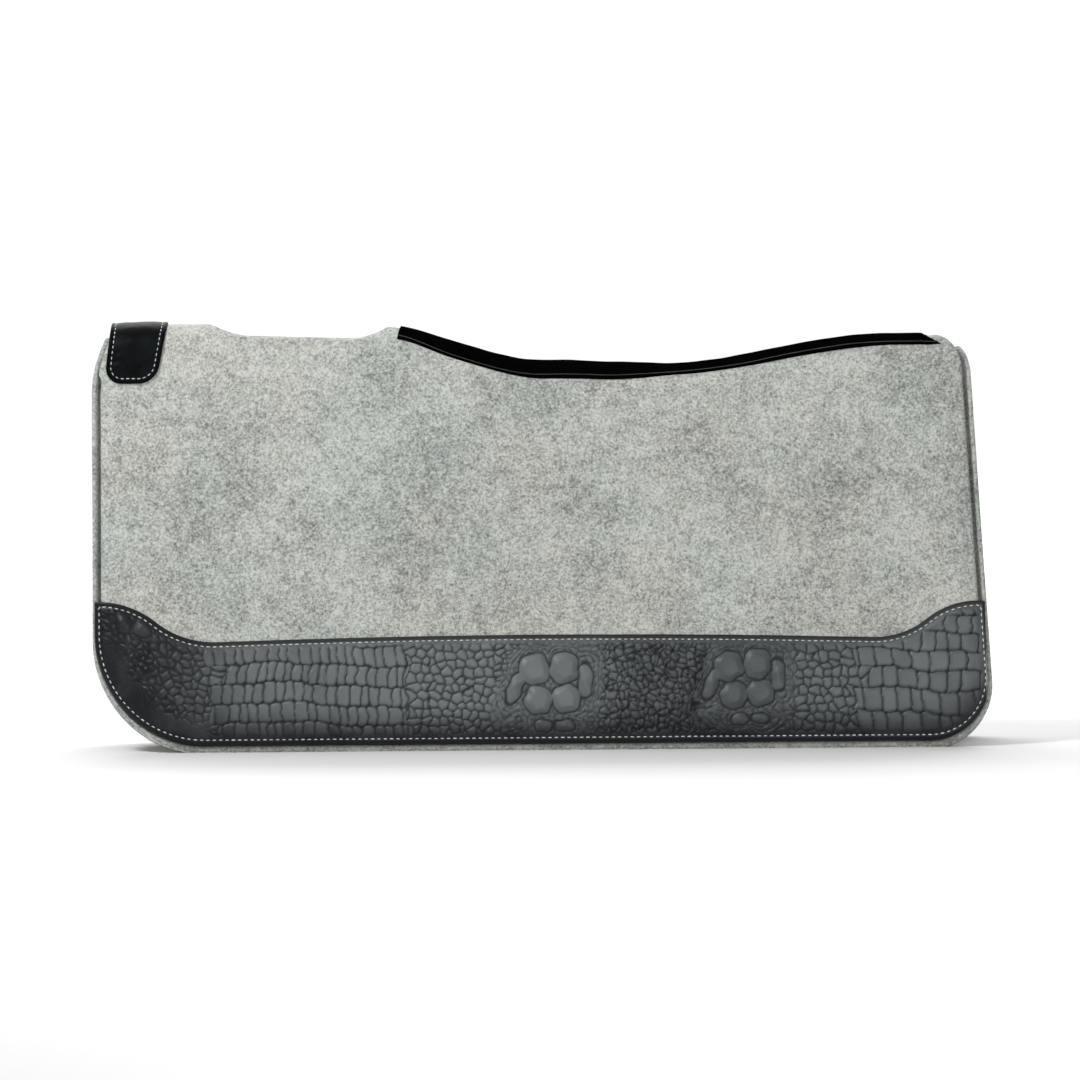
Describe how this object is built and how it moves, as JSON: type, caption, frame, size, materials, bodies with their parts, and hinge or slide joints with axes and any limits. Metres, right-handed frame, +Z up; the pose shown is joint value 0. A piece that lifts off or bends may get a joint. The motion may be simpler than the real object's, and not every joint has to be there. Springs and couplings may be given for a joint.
{
  "type": "saddle pad",
  "caption": "Contoured western saddle pad of layered wool felt, folded along a shaped spine, with embossed wear leathers, a wither patch and a wither relief slot.",
  "frame": {"origin": "on the ground, at the middle of the footprint of the pad standing on its two lower edges", "axes": "+X to the horse's rear along the spine, +Y to the right flank, +Z up"},
  "size_m": [0.8109, 0.1696, 0.3874],
  "materials": {
    "upper_felt": "heather grey pressed wool felt",
    "lower_felt": "grey pressed wool felt, horse side",
    "core_foam": "closed-cell shock-absorbing sheet",
    "wear_leather": "charcoal leather with an embossed reptile grain",
    "patch_leather": "near-black leather with a faint embossed grain",
    "spine_band": "matte black leather band",
    "pale_thread": "waxed pale grey thread",
    "black_thread": "waxed black thread"
  },
  "bodies": {
    "crown": {"left_crown_upper_felt": "upper_felt", "right_crown_upper_felt": "upper_felt", "left_crown_lower_felt": "lower_felt", "right_crown_lower_felt": "lower_felt", "spine_band": "spine_band", "spine_band_stitching": "black_thread", "spine_seam_thread": "pale_thread", "wither_patch": "patch_leather", "wither_patch_stitching": "pale_thread"},
    "left_flank": {"left_lower_felt": "lower_felt", "left_core_insert": "core_foam", "left_upper_felt": "upper_felt", "left_wear_leather": "wear_leather", "left_leather_stitching": "pale_thread"},
    "right_flank": {"right_lower_felt": "lower_felt", "right_core_insert": "core_foam", "right_upper_felt": "upper_felt", "right_wear_leather": "wear_leather", "right_leather_stitching": "pale_thread"}
  },
  "joints": [
    {"name": "left_flank_flex", "type": "hinge", "parent": "crown", "child": "left_flank", "pos_m": [0, -0.02241, 0.31628], "axis": [-1, 0, 0], "range_deg": [-10.5, 50]},
    {"name": "right_flank_flex", "type": "hinge", "parent": "crown", "child": "right_flank", "pos_m": [0, 0.02241, 0.31628], "axis": [1, 0, 0], "range_deg": [-10.5, 50]}
  ]
}
